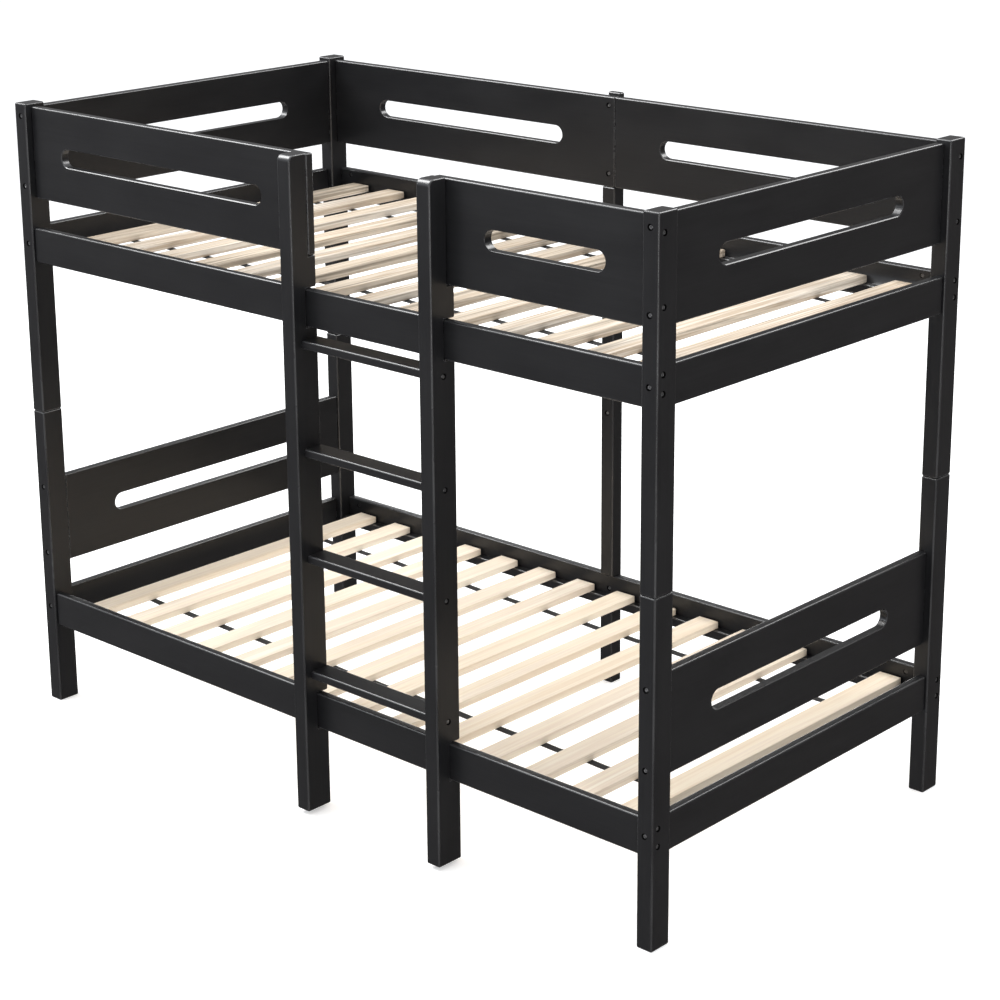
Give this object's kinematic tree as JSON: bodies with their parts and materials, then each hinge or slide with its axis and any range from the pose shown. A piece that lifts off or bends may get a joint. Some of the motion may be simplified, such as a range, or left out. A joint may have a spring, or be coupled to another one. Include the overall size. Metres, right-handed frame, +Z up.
{
  "type": "bunk bed with ladder",
  "caption": "Twin-over-twin wooden bunk bed with split posts, slotted guard boards, a front ladder hooked over the rails, and loose slat decks on cleats.",
  "frame": {"origin": "on the floor, under the middle of the overall box, ladder included", "axes": "+X along the bed towards the end nearer the ladder, +Y from the ladder side to the back, +Z up"},
  "size_m": [2, 1.101, 1.55],
  "materials": {
    "black_paint": "satin black paint over solid wood, edges eased",
    "pine": "bare sanded pine with long straight grain",
    "webbing": "black woven polyester webbing",
    "bolt_steel": "black oxide steel, worn bright at the rims"
  },
  "bodies": {
    "bed_frame": {"post_front_left_lower": "black_paint", "post_front_left_upper": "black_paint", "post_front_right_lower": "black_paint", "post_front_right_upper": "black_paint", "post_back_left_lower": "black_paint", "post_back_left_upper": "black_paint", "post_back_right_lower": "black_paint", "post_back_right_upper": "black_paint", "post_back_middle_lower": "black_paint", "post_back_middle_upper": "black_paint", "rail_front_lower": "black_paint", "rail_front_upper": "black_paint", "rail_back_lower": "black_paint", "rail_back_upper": "black_paint", "rail_left_end_lower": "black_paint", "rail_left_end_upper": "black_paint", "rail_right_end_lower": "black_paint", "rail_right_end_upper": "black_paint", "guard_front_left": "black_paint", "guard_front_right": "black_paint", "guard_back_left": "black_paint", "guard_back_right": "black_paint", "guard_left_end": "black_paint", "guard_right_end": "black_paint", "end_panel_left_lower": "black_paint", "end_panel_right_lower": "black_paint"},
    "ladder": {"ladder_stile_left": "black_paint", "ladder_stile_right": "black_paint", "ladder_rung_1": "black_paint", "ladder_rung_2": "black_paint", "ladder_rung_3": "black_paint", "ladder_rung_4": "black_paint"},
    "lower_deck": {"slat_lower_01": "pine", "slat_lower_02": "pine", "slat_lower_03": "pine", "slat_lower_04": "pine", "slat_lower_05": "pine", "slat_lower_06": "pine", "slat_lower_07": "pine", "slat_lower_08": "pine", "slat_lower_09": "pine", "slat_lower_10": "pine", "slat_lower_11": "pine", "slat_lower_12": "pine", "slat_lower_13": "pine", "slat_lower_14": "pine"},
    "upper_deck": {"slat_upper_01": "pine", "slat_upper_02": "pine", "slat_upper_03": "pine", "slat_upper_04": "pine", "slat_upper_05": "pine", "slat_upper_06": "pine", "slat_upper_07": "pine", "slat_upper_08": "pine", "slat_upper_09": "pine", "slat_upper_10": "pine", "slat_upper_11": "pine", "slat_upper_12": "pine", "slat_upper_13": "pine", "slat_upper_14": "pine"}
  },
  "joints": [
    {"name": "ladder_pull_off", "type": "slide", "parent": "bed_frame", "child": "ladder", "axis": [0, -1, 0], "range_m": [0, 0.12]},
    {"name": "lower_deck_lift", "type": "slide", "parent": "bed_frame", "child": "lower_deck", "axis": [0, 0, 1], "range_m": [0, 0.07]},
    {"name": "upper_deck_lift", "type": "slide", "parent": "bed_frame", "child": "upper_deck", "axis": [0, 0, 1], "range_m": [0, 0.1]}
  ]
}
